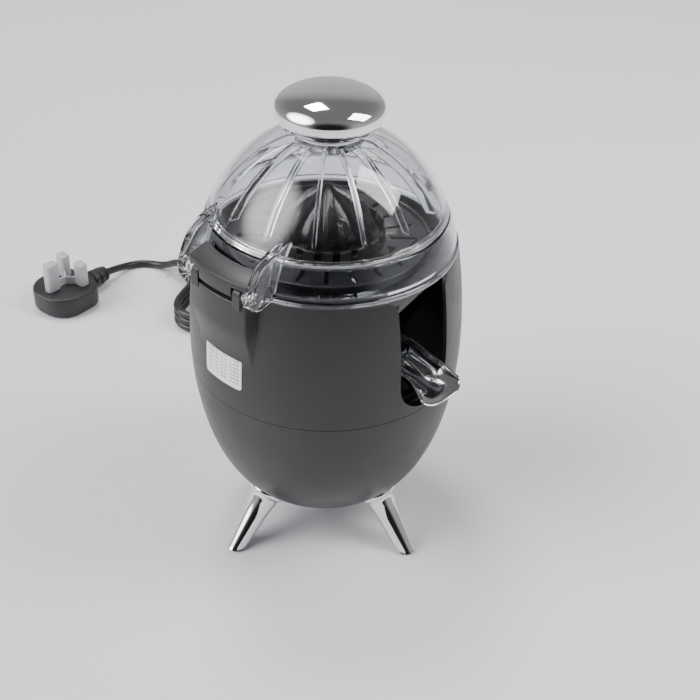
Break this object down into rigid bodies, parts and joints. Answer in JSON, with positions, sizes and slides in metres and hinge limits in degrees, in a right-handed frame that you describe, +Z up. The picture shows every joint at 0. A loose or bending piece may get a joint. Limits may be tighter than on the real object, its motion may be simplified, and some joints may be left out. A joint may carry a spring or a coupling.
{
  "type": "citrus press juicer",
  "caption": "Egg-shaped electric citrus press on splayed chrome legs, with a hinged clear dome lid, ribbed cone, strainer, juice bowl, tipping steel spout and mains lead.",
  "frame": {"origin": "on the table, midway between the hinge arms and the far side of the casing, and midway between the spout's lip and the end of the cord gland at the back", "axes": "+Z up along the spindle, -Y toward the spout, -X toward the lid's hinge"},
  "size_m": [0.2404, 0.4532, 0.3065],
  "materials": {
    "casing_black": "satin charcoal black",
    "hinge_plastic": "satin dark grey",
    "black_plastic": "semi-gloss black",
    "clear_plastic": "clear, polished",
    "smoke_plastic": "clear with a smoky tint",
    "cover_plastic": "milky, translucent",
    "chrome": "polished chrome plate",
    "steel": "plain and brushed steel",
    "brass": "bright brass",
    "nylon": "natural nylon",
    "rubber": "matt black rubber",
    "cord_pvc": "flexible black PVC",
    "label_film": "printed white film"
  },
  "bodies": {
    "base": {"lower_shell": "casing_black", "upper_shell": "casing_black", "base_cover": "black_plastic", "base_screw_1": "steel", "base_screw_2": "steel", "base_screw_3": "steel", "base_screw_4": "steel", "chassis_screw_1": "steel", "chassis_screw_2": "steel", "chassis_screw_3": "steel", "chassis_screw_4": "steel", "leg_right": "chrome", "leg_rear": "chrome", "leg_left": "chrome", "leg_front": "chrome", "foot_pad_right": "rubber", "foot_pad_rear": "rubber", "foot_pad_left": "rubber", "foot_pad_front": "rubber", "chassis": "steel", "lower_bush": "brass", "motor_can": "steel", "motor_end_cap": "black_plastic", "cluster_axle": "steel", "spring_cradle": "steel", "return_spring": "steel", "start_switch": "black_plastic", "mechanism_deck": "black_plastic", "shaft_seal": "rubber", "spout_carrier": "black_plastic", "juice_collector": "smoke_plastic", "strainer": "black_plastic", "hinge_pin": "steel", "rating_label": "label_film", "cord_gland": "rubber", "cord_to_hank": "cord_pvc", "cord_hank": "cord_pvc", "cord_tie": "steel", "cord_to_plug": "cord_pvc", "plug_body": "rubber", "pin_earth": "brass", "pin_line": "brass", "pin_neutral": "brass"},
    "lid": {"lid_dome": "clear_plastic", "fruit_press": "clear_plastic", "hinge_block": "hinge_plastic", "knob_neck": "chrome", "knob": "chrome", "knob_screw": "steel"},
    "spout_trough": {"spout": "steel"},
    "press_carrier": {"thrust_collar": "nylon"},
    "spindle": {"drive_shaft": "steel", "reamer_cone": "black_plastic"},
    "output_wheel": {"output_gear": "nylon"},
    "cluster_wheel": {"cluster_gear": "nylon"},
    "rotor": {"motor_rotor": "brass"},
    "plunger": {"switch_plunger": "nylon"},
    "transport_cover": {"pin_cover": "cover_plastic"}
  },
  "joints": [
    {"name": "lid_hinge", "type": "hinge", "parent": "base", "child": "lid", "pos_m": [-0.0837, 0.00467, 0.212], "axis": [0, -1, 0], "range_deg": [0, 95]},
    {"name": "spout_tip", "type": "hinge", "parent": "base", "child": "spout_trough", "pos_m": [0.0025, -0.06333, 0.149], "axis": [-1, 0, 0], "range_deg": [0, 25]},
    {"name": "cone_press", "type": "slide", "parent": "base", "child": "press_carrier", "axis": [0, 0, -1], "range_m": [0, 0.0025], "stiffness_N_per_m": 2500, "springref_m": -0.002, "deforming": ["return_spring"]},
    {"name": "cone_spin", "type": "hinge", "parent": "press_carrier", "child": "spindle", "pos_m": [0.0025, 0.00467, 0.15], "axis": [0, 0, 1], "continuous": true},
    {"name": "output_spin", "type": "hinge", "parent": "base", "child": "output_wheel", "pos_m": [0.0025, 0.00467, 0.112], "axis": [0, 0, 1], "continuous": true},
    {"name": "cluster_spin", "type": "hinge", "parent": "base", "child": "cluster_wheel", "pos_m": [0.0025, 0.03202, 0.106], "axis": [0, 0, 1], "continuous": true},
    {"name": "rotor_spin", "type": "hinge", "parent": "base", "child": "rotor", "pos_m": [-0.01945, 0.0447, 0.09], "axis": [0, 0, 1], "continuous": true},
    {"name": "switch_press", "type": "slide", "parent": "base", "child": "plunger", "axis": [0, 0, -1], "range_m": [0, 0.0025]},
    {"name": "pin_cover_pull", "type": "slide", "parent": "base", "child": "transport_cover", "axis": [0, 0, 1], "range_m": [0, 0.03]}
  ],
  "couplings": [
    {"joint": "output_spin", "follows": "cone_spin", "ratio": 1},
    {"joint": "cluster_spin", "follows": "cone_spin", "ratio": -3.5},
    {"joint": "rotor_spin", "follows": "cone_spin", "ratio": 14},
    {"joint": "switch_press", "follows": "cone_press", "ratio": 1}
  ]
}
